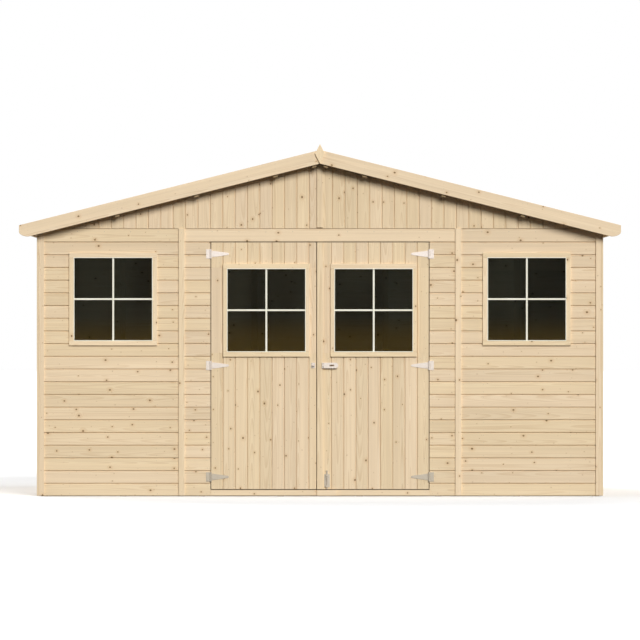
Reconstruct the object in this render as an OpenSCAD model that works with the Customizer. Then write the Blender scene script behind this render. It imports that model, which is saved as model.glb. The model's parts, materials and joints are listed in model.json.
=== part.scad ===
// Wooden garden shed with double doors, four glazed windows and a low ridged roof.
// Millimetres, +X to the right, +Y to the back, +Z up. The doors are in the front, at -Y.
// The origin is on the ground, under the middle of the shed.

/* [Walls] */
// Width of the shed over its cladding
wall_w = 3898; // [3200:1:4800]
// Depth of the shed over its cladding
wall_d = 2940; // [2400:1:3600]
// Height of the walls, up to the gables
wall_h = 1855; // [1850:1:2300]
// Thickness of the wall boards
clad_t = 16; // [12:1:22]
// Gap between the lowest wall board and the ground
clad_lift = 4; // [2:1:12]
// Width of a framing timber, along the wall
frame_w = 45; // [34:1:54]
// Depth of a framing timber, across the wall
frame_d = 28; // [22:1:45]
// Panels along each side wall
side_panels = 3; // [2:1:4]

/* [Trim] */
// Width of the strips that cover the panel joints
strip_w = 42; // [34:1:56]
// Thickness of every cover strip
strip_t = 13; // [8:1:16]
// Width of the strips at the corners
corner_w = 38; // [30:1:50]
// Slot left open under the strip in the middle of each gable
gable_slot = 7; // [4:1:12]

/* [Floor] */
// Thickness of the floor boards
floor_t = 16; // [12:1:22]
// Height of the timbers under the floor
bearer_h = 27; // [20:1:60]
// Width of the timbers under the floor
bearer_w = 45; // [34:1:60]
// Number of timbers under the floor
bearers = 8; // [5:1:10]

/* [Doors] */
// Width of the doorway
door_w = 1518; // [1200:1:1830]
// Width of wall between the doorway and the panel joint beside it
door_side = 200; // [150:1:260]
// Height from the sill to the top of the doorway
door_h = 1722; // [1640:1:1735]
// Clearance round the sides of the leaves and between them
leaf_gap = 5.5; // [5:0.5:10]
// Clearance over and under the leaves
leaf_lift = 6; // [5.5:0.5:12]
// Width of the strip on the right leaf, whose left edge is where the leaves meet
meeting_w = 41; // [34:1:56]
// How far the frame behind a leaf stays inside its edges
leaf_inset = 9; // [6:1:15]

/* [Windows] */
// Width of the glass that shows
pane_w = 539; // [430:1:600]
// Height of the glass that shows
pane_h = 571; // [470:1:600]
// Thickness of the glass
glass_t = 4; // [2:1:6]
// Edge of the glass that is hidden behind the window frame, all round
glass_lap = 8; // [5:1:12]
// Clearance between the glass and the boards round it
glass_gap = 2; // [1:0.5:4]
// Thickness of the window frames, in front of the boards
window_t = 14; // [10:1:18]
// Width of the frames of the wall windows
wall_window_frame = 36; // [28:1:44]
// Width of the uprights of the door windows' frames
door_window_side = 30; // [24:1:36]
// Width of the rails of the door windows' frames
door_window_rail = 37; // [28:1:44]
// Height of the wall windows' glass over the floor
wall_pane_up = 1037; // [900:1:1060]
// Height of the door windows' glass over the floor
door_pane_up = 960; // [900:1:980]
// How far the wall windows sit from the middle of their panel, towards the doors
window_shift = 21; // [0:1:60]
// How far the door windows sit from the middle of their half of the doorway, inwards
door_window_shift = 7.5; // [0:0.5:12]

/* [Roof] */
// Rise of the roof for each unit of run
slope = 0.25; // [0.2:0.01:0.3]
// Height of the roof line over the top of the walls, at the face of the side walls
roof_stand = 55; // [45:1:80]
// How far the roof reaches past the cladding of the side walls
side_overhang = 133; // [110:1:200]
// How far the roof boards reach past the cladding at the front and back
end_overhang = 90; // [70:1:150]
// Thickness of the roof boards
deck_t = 16; // [12:1:20]
// Thickness of the roofing felt
felt_t = 2; // [2:1:3]
// How far the felt lies under the top of the bargeboards, measured straight down
felt_drop = 6; // [4:1:10]
// Width of a purlin
purlin_w = 30; // [24:1:45]
// How far the bottom of a purlin lies under the top of the bargeboards, straight down
purlin_drop = 112; // [105:1:130]
// Distance from the ridge to the middle of the first purlin on each side
purlin_ridge = 39.5; // [30:0.5:60]
// Distance from the ridge to the middle of the second purlin
purlin_first = 308; // [250:1:400]
// Distance between the next purlins
purlin_pitch = 547.5; // [400:0.5:600]
// Depth of a bargeboard, square to its length
barge_h = 92; // [80:1:100]
// Thickness of the bargeboards and of the boards along the eaves
barge_t = 16; // [12:1:22]
// Height of the upright edge at the end of a bargeboard
barge_nose = 46; // [30:1:60]
// Length of the rounded corner under that edge
barge_round = 64; // [40:1:90]
// Height of the boards along the eaves
eaves_h = 34; // [25:1:90]
// How far the roof boards stop short of the bargeboards' ends
eaves_in = 12; // [6:1:20]
// Width of the diamond at the peak of the bargeboards
finial_w = 69; // [50:1:90]
// Height of the diamond
finial_h = 136; // [100:1:160]
// How far the tip of the diamond stands over the bargeboards
finial_rise = 41; // [30:1:55]

/* [Ironwork] */
// Radius of a door hinge's pin
pin_r = 3; // [2.5:0.5:4]
// Outer radius of a door hinge's knuckles
knuckle_r = 6.5; // [5:0.5:8]
// Radial play of every pin and rod in its own bore
play = 0.05; // [0.03:0.01:0.08]
// Gap between the knuckles and the face that they pass over
knuckle_gap = 0.5; // [0.4:0.1:1]
// Clearance between a knuckle and the edge of the plate or strap that turns round it
knuckle_clear = 1.5; // [1:0.5:2.5]
// Thickness of the straps and plates
plate_t = 3; // [2:0.5:4]
// Height of a hinge's plate on the wall
hinge_plate_h = 64; // [54:1:80]
// Reach of the plate and of the pin's tabs from the pin
hinge_plate_reach = 33; // [28:1:42]
// Length of a hinge's strap from the pin
strap_reach = 125; // [100:1:160]
// Height of the strap at its root
strap_root = 46; // [40:1:60]
// Height of the strap at its rounded tip
strap_tip = 16; // [10:1:24]
// Height of the knuckle on the strap
strap_knuckle_h = 25; // [18:1:30]
// Heights of the hinges over the bottom of the doorway
hinge_up = [91, 863, 1636];
// Height of the hasp over the floor
hasp_up = 863; // [780:1:880]
// Length of the hasp's strap from its pin
hasp_reach = 109; // [90:1:120]
// Width of the hasp's strap
hasp_w = 39; // [30:1:46]
// Length of the slot in the hasp's strap
slot_l = 32; // [30:1:40]
// Height of the slot
slot_h = 10; // [9:1:14]
// Outer radius of the hasp's knuckles
hasp_knuckle_r = 5; // [4:0.5:6]
// Radius of the hasp's pin
hasp_pin_r = 2; // [1.5:0.5:3]
// Height of the knuckle on the hasp's strap
hasp_knuckle_h = 13; // [10:1:16]
// Width of the hasp's plate
hasp_plate_w = 34; // [28:1:44]
// Distance from the hasp's pin to the near end of its slot
slot_in = 48; // [42:1:54]
// How far the staple's eye stands out past the hasp's pin
staple_out = 14; // [13:1:18]
// Width and height of the staple's foot
staple_foot = [28, 38];
// Width of the staple's eye
staple_w = 20; // [16:1:22]
// Thickness of the staple's eye
staple_t = 6; // [4:1:7]
// Radius of the hole in the staple
staple_hole_r = 5.5; // [4:0.5:6]
// Radius of the bolt's rod
bolt_r = 5; // [4:0.5:6]
// Distance from the meeting strip to the middle of the bolt
bolt_in = 28; // [24:1:40]
// Length of the bolt's rod
bolt_len = 129; // [120:1:160]
// Radius of the knob on the rod
knob_r = 4; // [3:0.5:5]
// Reach of the knob in front of the rod's middle
knob_l = 20; // [16:1:26]
// Height of the bolt's plate
bolt_plate_h = 90; // [80:1:120]
// Width of the bolt's plate
bolt_plate_w = 38; // [30:1:46]
// Width of the block that the bolt drops into
keeper_w = 136; // [100:1:160]
// How far the block stands out from the sill
keeper_t = 20; // [18:1:26]
// Radius of the hole in the block
keeper_hole_r = 6.5; // [6:0.5:8]

/* [Hidden] */

wood = "#e3caa6";
pale_wood = "#ead6b6";
zinc = "#e4e2da";
steel = "#c3c0b4";
felt = "#5a5f5c";
pane = [0.16, 0.16, 0.13, 0.6];

// Gap between pieces of one panel that butt against each other
seam = 0.4;
// Gap between pieces of the roof and what they rest on
rest_gap = 0.3;
// Air under the felt
film = 0.1;

half_w = wall_w / 2;
half_d = wall_d / 2;
face = -half_d;                      // face of the front cladding
frame_face = face + clad_t;          // face of the framing behind it
frame_back = frame_face + frame_d;   // inner face of that framing
inner_x = half_w - clad_t;           // inner face of the side cladding
floor_z = bearer_h + floor_t;
door_top = floor_z + door_h;
header_z = door_top;                 // foot of the board that runs round the top of the walls
door_half = door_w / 2;
joint_x = door_half + door_side;     // joint between the door panel and a side panel
window_x = (joint_x + half_w) / 2 - window_shift;
wall_pane_z = floor_z + wall_pane_up;
door_pane_z = floor_z + door_pane_up;

// Roof lines are measured straight down from the top of the bargeboards.
lean = sqrt(1 + slope * slope);
ridge_z = wall_h + roof_stand + slope * half_w;
function line(x, drop) = ridge_z - slope * abs(x) - drop;
function line_x(z, drop) = (ridge_z - drop - z) / slope;
roof_half = half_w + side_overhang;
deck_top = felt_drop + felt_t * lean + film;
deck_under = deck_top + deck_t * lean;
deck_y = half_d + end_overhang;
deck_half = roof_half - eaves_in;
plate_x = half_w - frame_d - clad_t; // inner face of the side walls
purlin_last = plate_x - purlin_w * 2;
purlin_x = concat([purlin_ridge], [for (x = [purlin_first : purlin_pitch : purlin_last]) x]);
purlin_count = len(purlin_x);

// The leaves: the left one ends one clearance before the strip's edge, the right one at it.
meet_x = -meeting_w / 2;
leaf_edge = door_half - leaf_gap;
left_end = meet_x - leaf_gap;
leaf_z0 = floor_z + leaf_lift;
leaf_z1 = door_top - leaf_lift;
door_window_x = door_half / 2 - door_window_shift;
pin_x = door_half - leaf_gap / 2;
pin_y = face - knuckle_r - knuckle_gap;
reach_in = knuckle_r + knuckle_clear; // a plate starts this far from its pin

hasp_x = meet_x + meeting_w - 3;      // the pin stands over the strip, 3 from its edge
hasp_y = face - strip_t - knuckle_gap - hasp_knuckle_r;
hasp_z = floor_z + hasp_up;
staple_x = hasp_x - slot_in - slot_l / 2;

bolt_x = meet_x + meeting_w + bolt_in;
bolt_y = face - keeper_t / 2;
bolt_tip = leaf_z0;                  // the rod rests just over the block on the sill
bolt_plate_z = bolt_tip + 13;
guide_h = 12;                        // height of each guide on the bolt's plate
guide_in = 2;                        // distance from a guide to the end of the plate
guide_wall = 4;                      // metal round the rod in a guide
knob_z = bolt_plate_z + bolt_plate_h - guide_h - guide_in - knob_r - 6;

module block(x, y, z) {
    translate([x[0], y[0], z[0]]) cube([x[1] - x[0], y[1] - y[0], z[1] - z[0]]);
}

// An outline in X and Z, thickened from y[0] to y[1]
module upright_slab(y) {
    translate([0, y[1], 0]) rotate([90, 0, 0]) linear_extrude(y[1] - y[0]) children();
}

module both_sides() {
    children();
    mirror([1, 0, 0]) children();
}

module both_ends() {
    children();
    mirror([0, 1, 0]) children();
}

// Boards round a window: below, above and at both sides of the cut
module boards_round_cut(x, y, z, cut_x, cut_z) {
    block(x, y, [z[0], cut_z[0] - seam / 2]);
    block(x, y, [cut_z[1] + seam / 2, z[1]]);
    block([x[0], cut_x[0]], y, [cut_z[0] + seam / 2, cut_z[1] - seam / 2]);
    block([cut_x[1], x[1]], y, [cut_z[0] + seam / 2, cut_z[1] - seam / 2]);
}

// The part of the roof between two lines, from x[0] to x[1] on the right side
module roof_band(x, drop) {
    polygon([
        [x[0], line(x[0], drop[1])], [x[1], line(x[1], drop[1])],
        [x[1], line(x[1], drop[0])], [x[0], line(x[0], drop[0])]
    ]);
}

function cut_x(middle) = [
    middle - pane_w / 2 - glass_lap - glass_gap, middle + pane_w / 2 + glass_lap + glass_gap
];
function cut_z(low) = [low - glass_lap - glass_gap, low + pane_h + glass_lap + glass_gap];

module glass_sheet(middle, low) {
    block(
        [middle - pane_w / 2 - glass_lap, middle + pane_w / 2 + glass_lap],
        [face, face + glass_t],
        [low - glass_lap, low + pane_h + glass_lap]
    );
}

// A picture frame of four bars on the face of the boards
module window_frame(middle, low, side, rail) {
    x = [middle - pane_w / 2, middle + pane_w / 2];
    y = [face - window_t, face];
    z = [low, low + pane_h];
    block([x[0] - side, x[1] + side], y, [z[0] - rail, z[0]]);
    block([x[0] - side, x[1] + side], y, [z[1], z[1] + rail]);
    block([x[0] - side, x[0]], y, [z[0] + seam, z[1] - seam]);
    block([x[1], x[1] + side], y, [z[0] + seam, z[1] - seam]);
}

// Floor

module floor_bearers() {
    span = wall_d - 2 * clad_t;
    pitch = (2 * inner_x - bearer_w) / (bearers - 1);
    color(wood) for (i = [0 : bearers - 1])
        translate([-inner_x + i * pitch, -span / 2, 0]) cube([bearer_w, span, bearer_h]);
}

module floor_boards() {
    color(wood) block([-inner_x, inner_x], [frame_face, -frame_face], [bearer_h, floor_z]);
}

module door_sill() {
    color(wood) block([seam - door_half, door_half - seam], [face, frame_face], [clad_lift, floor_z]);
}

module bolt_keeper() {
    color(pale_wood) difference() {
        block([meet_x, meet_x + keeper_w], [face - keeper_t, face], [clad_lift, floor_z]);
        translate([bolt_x, bolt_y, 0]) cylinder(h = floor_z + 1, r = keeper_hole_r, $fn = 32);
    }
}

// Wall framing: every timber is a piece of its own

module end_wall_plates(x) {
    y = [frame_face, frame_back];
    block(x, y, [floor_z, floor_z + frame_w]);
    block(x, y, [wall_h - frame_w, wall_h]);
}

module end_wall_stud(x) {
    z = [floor_z + frame_w + seam, wall_h - frame_w - seam];
    block([x, x + frame_w], [frame_face, frame_back], z);
}

module side_panel_frame(windowed) {
    cut = cut_x(window_x);
    end_wall_plates([joint_x + seam, inner_x]);
    end_wall_stud(joint_x + seam);
    end_wall_stud(inner_x - frame_w);
    if (windowed) {
        high = cut_z(wall_pane_z);
        y = [frame_face, frame_back];
        end_wall_stud(cut[0] - frame_w);
        end_wall_stud(cut[1]);
        block([cut[0] + seam, cut[1] - seam], y, [high[0] - frame_w, high[0]]);
        block([cut[0] + seam, cut[1] - seam], y, [high[1], high[1] + frame_w]);
    } else {
        end_wall_stud((joint_x + inner_x - frame_w) / 2);
    }
}

// Truss behind a gable: bottom rail, sloping rails under the purlins and a post
module gable_frame() {
    under = purlin_drop + rest_gap;
    low = under + frame_w * lean;
    rail_z = wall_h + seam + frame_w;
    y = [frame_face, frame_back];
    sloped_z = rail_z + seam;
    foot = line_x(sloped_z, under);
    head = frame_w / 2 + seam;
    block([-foot, foot], y, [wall_h + seam, rail_z]);
    both_sides() upright_slab(y) polygon([
        [head, line(head, low)], [head, line(head, under)],
        [foot, sloped_z], [line_x(sloped_z, low), sloped_z]
    ]);
    block([-frame_w / 2, frame_w / 2], y, [sloped_z, line(frame_w / 2, under)]);
}

module front_frame() {
    y = [frame_face, frame_back];
    color(wood) {
        both_sides() {
            side_panel_frame(true);
            end_wall_stud(joint_x - frame_w - seam);
            end_wall_stud(door_half + 2 * seam);
            block([door_half + 2 * seam, joint_x - seam], y, [floor_z, floor_z + frame_w]);
        }
        block([seam - joint_x, joint_x - seam], y, [wall_h - frame_w, wall_h]);
        gable_frame();
    }
}

module back_frame() {
    mid = (joint_x - frame_w) / 2;
    color(wood) mirror([0, 1, 0]) {
        both_sides() {
            side_panel_frame(false);
            end_wall_plates([seam, joint_x - seam]);
            end_wall_stud(seam);
            end_wall_stud(mid);
            end_wall_stud(joint_x - frame_w - seam);
        }
        gable_frame();
    }
}

module right_side_frame() {
    x = [inner_x - frame_d, inner_x];
    end = -frame_back - seam;
    pitch = wall_d / side_panels;
    for (i = [0 : side_panels - 1]) {
        y0 = max(i * pitch - half_d + seam, -end);
        y1 = min((i + 1) * pitch - half_d - seam, end);
        mid = (y0 + y1) / 2;
        z = [floor_z + frame_w + seam, wall_h - frame_w - seam];
        block(x, [y0, y1], [floor_z, floor_z + frame_w]);
        block(x, [y0, y1], [wall_h - frame_w, wall_h]);
        for (y = [y0, mid - frame_w / 2, y1 - frame_w]) block(x, [y, y + frame_w], z);
    }
}

module left_frame() {
    color(wood) mirror([1, 0, 0]) right_side_frame();
}

module right_frame() {
    color(wood) right_side_frame();
}

// Cladding

module right_front_cladding() {
    boards_round_cut(
        [door_half, half_w], [face, frame_face], [clad_lift, header_z - seam],
        cut_x(window_x), cut_z(wall_pane_z)
    );
}

module front_cladding_left() {
    color(wood) mirror([1, 0, 0]) right_front_cladding();
}

module front_cladding_right() {
    color(wood) right_front_cladding();
}

module front_header() {
    y = [face, frame_face];
    color(wood) {
        both_sides() block([joint_x + seam, half_w], y, [header_z, wall_h]);
        block([-joint_x, joint_x], y, [header_z, wall_h]);
    }
}

module back_cladding() {
    color(wood) block([-half_w, half_w], [-frame_face, -face], [clad_lift, wall_h]);
}

module right_side_cladding() {
    block([inner_x, half_w], [frame_face + seam, -frame_face - seam], [clad_lift, wall_h]);
}

module left_cladding() {
    color(wood) mirror([1, 0, 0]) right_side_cladding();
}

module right_cladding() {
    color(wood) right_side_cladding();
}

// Gable boards: a low triangle up to the purlins, and pieces between the purlins
module gable_boards() {
    y = [face, frame_face];
    low = wall_h + rest_gap;
    under = purlin_drop + rest_gap;
    top = deck_under + rest_gap;
    upright_slab(y) polygon([
        [-line_x(low, under), low], [line_x(low, under), low], [0, line(0, under)]
    ]);
    both_sides() upright_slab(y) for (i = [0 : purlin_count - 1]) {
        x0 = purlin_x[i] + purlin_w / 2 + rest_gap;
        x1 = i + 1 < purlin_count ? purlin_x[i + 1] - purlin_w / 2 - rest_gap : half_w;
        corner = min(x1, line_x(low, under - seam));
        polygon(concat(
            [[x0, line(x0, top)], [x0, line(x0, under - seam)], [corner, line(corner, under - seam)]],
            x1 > corner ? [[x1, low]] : [],
            [[x1, line(x1, top)]]
        ));
    }
    x = purlin_ridge - purlin_w / 2 - rest_gap;
    upright_slab(y) polygon([
        [-x, line(x, under - seam)], [0, line(0, under - seam)], [x, line(x, under - seam)],
        [x, line(x, top)], [0, line(0, top)], [-x, line(x, top)]
    ]);
}

module front_gable() {
    color(wood) gable_boards();
}

module back_gable() {
    color(wood) mirror([0, 1, 0]) gable_boards();
}

// Strips

module corner_strips() {
    top = wall_h;
    z = [clad_lift, top];
    color(pale_wood) both_sides() both_ends() {
        block([half_w - corner_w, half_w - rest_gap], [face - strip_t, face], z);
        block([half_w, half_w + strip_t], [face - strip_t, face + corner_w], z);
    }
}

module cover_strips() {
    y = [face - strip_t, face];
    half = strip_w / 2;
    gable_z = [wall_h + gable_slot, line(0, barge_h * lean) + strip_w];
    color(pale_wood) {
        both_sides() {
            both_ends() block([joint_x - half, joint_x + half], y, [clad_lift, wall_h]);
            for (i = [1 : side_panels - 1]) {
                middle = i * wall_d / side_panels - half_d;
                block([half_w, half_w + strip_t], [middle - half, middle + half], [clad_lift, wall_h]);
            }
        }
        both_ends() block([-half, half], y, gable_z);
        mirror([0, 1, 0]) block([-half, half], y, [clad_lift, wall_h]);
    }
}

// Windows of the front wall

module wall_window_frames() {
    color(pale_wood) both_sides()
        window_frame(window_x, wall_pane_z, wall_window_frame, wall_window_frame);
}

module wall_window_glass() {
    color(pane) both_sides() glass_sheet(window_x, wall_pane_z);
}

// Roof

module roof_purlins() {
    y = [-deck_y, deck_y];
    color(wood) both_sides() {
        for (x = purlin_x) upright_slab(y)
            roof_band([x - purlin_w / 2, x + purlin_w / 2], [deck_under + rest_gap, purlin_drop]);
        upright_slab([frame_back + seam, -frame_back - seam]) polygon([
            [plate_x, wall_h], [inner_x, wall_h],
            [inner_x, line(inner_x, deck_under + rest_gap)],
            [plate_x, line(plate_x, deck_under + rest_gap)]
        ]);
    }
}

module right_roof_boards() {
    upright_slab([-deck_y, deck_y]) roof_band([seam / 2, deck_half], [deck_top, deck_under]);
}

module roof_boards_left() {
    color(wood) mirror([1, 0, 0]) right_roof_boards();
}

module roof_boards_right() {
    color(wood) right_roof_boards();
}

module roofing_felt() {
    color(felt) both_sides() upright_slab([-deck_y, deck_y])
        roof_band([seam / 2, deck_half + felt_t], [felt_drop, deck_top - film]);
}

module eaves_boards() {
    top = line(deck_half, deck_under + rest_gap);
    x = [deck_half - barge_t, deck_half];
    color(wood) both_sides() block(x, [-deck_y, deck_y], [top - eaves_h, top]);
}

// A bargeboard: its lower corner at the eaves is a quarter of an ellipse
module bargeboard_outline() {
    under = barge_h * lean;
    nose_z = line(roof_half, barge_nose);
    root_x = roof_half - barge_round;
    drop = nose_z - line(root_x, under);
    polygon(concat(
        [[seam / 2, line(0, under)], [seam / 2, line(0, 0)], [roof_half, line(roof_half, 0)]],
        [for (a = [0 : 15 : 90])
            [root_x + barge_round * cos(a), nose_z - drop * sin(a)]]
    ));
}

module bargeboards() {
    both_sides() upright_slab([-deck_y - barge_t, -deck_y]) bargeboard_outline();
}

module front_bargeboards() {
    color(pale_wood) bargeboards();
}

module back_bargeboards() {
    color(pale_wood) mirror([0, 1, 0]) bargeboards();
}

module finials() {
    top = ridge_z + finial_rise;
    middle = top - finial_h / 2;
    color(pale_wood) both_ends()
        upright_slab([-deck_y - 2 * barge_t, -deck_y - barge_t]) polygon([
            [0, top], [finial_w / 2, middle], [0, top - finial_h], [-finial_w / 2, middle]
        ]);
}

// Door hinges: a plate with two knuckles and the pin on the wall, a strap on the leaf

module hinge_plate() {
    half = hinge_plate_h / 2;
    inner = strap_knuckle_h / 2 + seam;
    block([reach_in, hinge_plate_reach], [0, plate_t], [-half, half]);
    for (z = [[-half, -inner], [inner, half]]) {
        block([0, reach_in], [0, plate_t], z);
        translate([0, pin_y - face + plate_t, z[0]])
            cylinder(h = z[1] - z[0], r = knuckle_r, $fn = 48);
    }
    translate([0, pin_y - face + plate_t, -half]) cylinder(h = hinge_plate_h, r = pin_r, $fn = 48);
}

module hinge_strap() {
    half = strap_knuckle_h / 2;
    tip = strap_tip / 2;
    centre = strap_reach - tip;
    difference() {
        union() {
            translate([0, pin_y - face + plate_t, -half])
                cylinder(h = strap_knuckle_h, r = knuckle_r, $fn = 48);
            block([-reach_in - 1, 0], [0, plate_t], [-half, half]);
            upright_slab([0, plate_t]) polygon(concat(
                [[-reach_in, -strap_root / 2], [-reach_in, strap_root / 2]],
                [for (a = [90 : 22.5 : 270]) [-centre + tip * cos(a), tip * sin(a)]]
            ));
        }
        translate([0, pin_y - face + plate_t, -half - 1])
            cylinder(h = strap_knuckle_h + 2, r = pin_r + play, $fn = 48);
    }
}

module hinge_places() {
    for (up = hinge_up) translate([pin_x, face - plate_t, floor_z + up]) children();
}

module hinge_plates() {
    color(zinc) both_sides() hinge_places() hinge_plate();
}

// Door leaves, each drawn on the right from its meeting edge to its hinge edge

module leaf_boards(start) {
    boards_round_cut(
        [start, leaf_edge], [face, frame_face], [leaf_z0, leaf_z1],
        cut_x(door_window_x), cut_z(door_pane_z)
    );
}

// Stiles, rails and a brace that rises from the bottom hinge
module leaf_frame(start) {
    x = [start + leaf_inset, leaf_edge - leaf_inset];
    y = [frame_face, frame_back];
    z = [leaf_z0 + leaf_inset, leaf_z1 - leaf_inset];
    cut = cut_z(door_pane_z);
    inner = [x[0] + frame_w + seam, x[1] - frame_w - seam];
    block([x[0], x[0] + frame_w], y, z);
    block([x[1] - frame_w, x[1]], y, z);
    block(inner, y, [z[0], z[0] + frame_w]);
    block(inner, y, [cut[0] - frame_w, cut[0]]);
    block(inner, y, [cut[1], cut[1] + frame_w]);
    block(inner, y, [z[1] - frame_w, z[1]]);
    low = z[0] + frame_w + seam;
    high = cut[0] - frame_w - seam;
    upright_slab(y) polygon([
        [inner[1], low], [inner[1], low + frame_w],
        [inner[0] + frame_w, high], [inner[0], high], [inner[0], high - frame_w],
        [inner[1] - frame_w, low]
    ]);
}

module leaf_window_frame() {
    window_frame(door_window_x, door_pane_z, door_window_side, door_window_rail);
}

module left_door_boards() {
    color(wood) mirror([1, 0, 0]) leaf_boards(-left_end);
}

module left_door_frame() {
    color(wood) mirror([1, 0, 0]) leaf_frame(-left_end);
}

module left_door_window_frame() {
    color(pale_wood) mirror([1, 0, 0]) leaf_window_frame();
}

module left_door_glass() {
    color(pane) mirror([1, 0, 0]) glass_sheet(door_window_x, door_pane_z);
}

module left_door_hinge_straps() {
    color(zinc) mirror([1, 0, 0]) hinge_places() hinge_strap();
}

module right_door_boards() {
    color(wood) leaf_boards(meet_x);
}

module right_door_frame() {
    color(wood) leaf_frame(meet_x);
}

module right_door_window_frame() {
    color(pale_wood) leaf_window_frame();
}

module right_door_glass() {
    color(pane) glass_sheet(door_window_x, door_pane_z);
}

module right_door_hinge_straps() {
    color(zinc) hinge_places() hinge_strap();
}

module meeting_strip() {
    color(pale_wood) block([meet_x, meet_x + meeting_w], [face - strip_t, face], [leaf_z0, leaf_z1]);
}

// Hasp: the plate stands up beside the meeting strip and carries the pin over it

module hasp_plate() {
    edge = meet_x + meeting_w + rest_gap;
    half = hasp_w / 2;
    inner = hasp_knuckle_h / 2 + seam;
    color(zinc) {
        block([edge, edge + hasp_plate_w], [face - plate_t, face], [hasp_z - half, hasp_z + half]);
        for (z = [[-half, -inner], [inner, half]]) {
            block([edge, edge + plate_t], [hasp_y, face], [hasp_z + z[0], hasp_z + z[1]]);
            translate([hasp_x, hasp_y, hasp_z + z[0]])
                cylinder(h = z[1] - z[0], r = hasp_knuckle_r, $fn = 48);
        }
        translate([hasp_x, hasp_y, hasp_z - half]) cylinder(h = hasp_w, r = hasp_pin_r, $fn = 48);
    }
}

// The strap lies open, folded back to the right over its plate
module hasp_strap() {
    half = hasp_w / 2;
    tab = hasp_knuckle_h / 2;
    start = hasp_knuckle_r + 2 * knuckle_clear;
    centre = hasp_reach - half;
    top = hasp_knuckle_r - plate_t;
    slot_mid = slot_in + slot_l / 2;
    color(zinc) translate([hasp_x, hasp_y, hasp_z]) difference() {
        union() {
            translate([0, 0, -tab]) cylinder(h = 2 * tab, r = hasp_knuckle_r, $fn = 48);
            block([0, start + 1], [-hasp_knuckle_r, -top], [-tab, tab]);
            upright_slab([-hasp_knuckle_r, -top]) {
                translate([start, -half]) square([centre - start, hasp_w]);
                translate([centre, 0]) circle(r = half, $fn = 64);
            }
        }
        translate([0, 0, -tab - 1]) cylinder(h = 2 * tab + 2, r = hasp_pin_r + play, $fn = 48);
        block(
            [slot_mid - slot_l / 2, slot_mid + slot_l / 2], [-hasp_knuckle_r - 1, -top + 1],
            [-slot_h / 2, slot_h / 2]
        );
    }
}

module hasp_staple() {
    centre_y = hasp_y - staple_out + staple_w / 2;
    foot = staple_foot / 2;
    color(zinc) {
        block(
            [staple_x - foot[0], staple_x + foot[0]], [face - plate_t, face],
            [hasp_z - foot[1], hasp_z + foot[1]]
        );
        translate([staple_x, 0, hasp_z - staple_t / 2]) difference() {
            union() {
                translate([-staple_w / 2, centre_y, 0]) cube([staple_w, face - centre_y, staple_t]);
                translate([0, centre_y, 0]) cylinder(h = staple_t, r = staple_w / 2, $fn = 48);
            }
            translate([0, centre_y, -1]) cylinder(h = staple_t + 2, r = staple_hole_r, $fn = 48);
        }
    }
}

// Bolt: the rod rests raised, just over the block on the sill

module bolt_housing() {
    low = bolt_plate_z;
    high = low + bolt_plate_h;
    half = bolt_plate_w / 2;
    guide = bolt_r + guide_wall;
    color(steel) difference() {
        union() {
            block([bolt_x - half, bolt_x + half], [face - plate_t, face], [low, high]);
            for (z = [low + guide_in, high - guide_h - guide_in])
                block([bolt_x - guide, bolt_x + guide], [bolt_y - guide, face], [z, z + guide_h]);
        }
        translate([bolt_x, bolt_y, low - 1]) cylinder(h = bolt_plate_h + 2, r = bolt_r + play, $fn = 48);
    }
}

module bolt_rod() {
    color(steel) {
        translate([bolt_x, bolt_y, bolt_tip]) cylinder(h = bolt_len, r = bolt_r, $fn = 48);
        translate([bolt_x, bolt_y, knob_z]) rotate([90, 0, 0]) cylinder(h = knob_l, r = knob_r, $fn = 48);
    }
}

floor_bearers();
floor_boards();
door_sill();
bolt_keeper();
front_frame();
back_frame();
left_frame();
right_frame();
front_cladding_left();
front_cladding_right();
front_header();
back_cladding();
left_cladding();
right_cladding();
front_gable();
back_gable();
corner_strips();
cover_strips();
wall_window_frames();
wall_window_glass();
roof_purlins();
roof_boards_left();
roof_boards_right();
roofing_felt();
eaves_boards();
front_bargeboards();
back_bargeboards();
finials();
hinge_plates();
left_door_boards();
left_door_frame();
left_door_window_frame();
left_door_glass();
left_door_hinge_straps();
hasp_staple();
right_door_boards();
right_door_frame();
right_door_window_frame();
right_door_glass();
right_door_hinge_straps();
meeting_strip();
hasp_plate();
bolt_housing();
hasp_strap();
bolt_rod();
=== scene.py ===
"""The looks of a wooden garden shed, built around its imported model.

Each board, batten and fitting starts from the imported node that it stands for, so every size and place
comes from there. Lengths are in metres: X to the right, Y to the back, Z up, the ground at Z = 0, and the
front wall faces -Y. All that is drawn at random is seeded by name, so each run gives the same shed.
"""

import json
import math
import random

import bmesh
import bpy
import numpy as np
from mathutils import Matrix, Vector, noise
from mathutils.bvhtree import BVHTree

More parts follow.
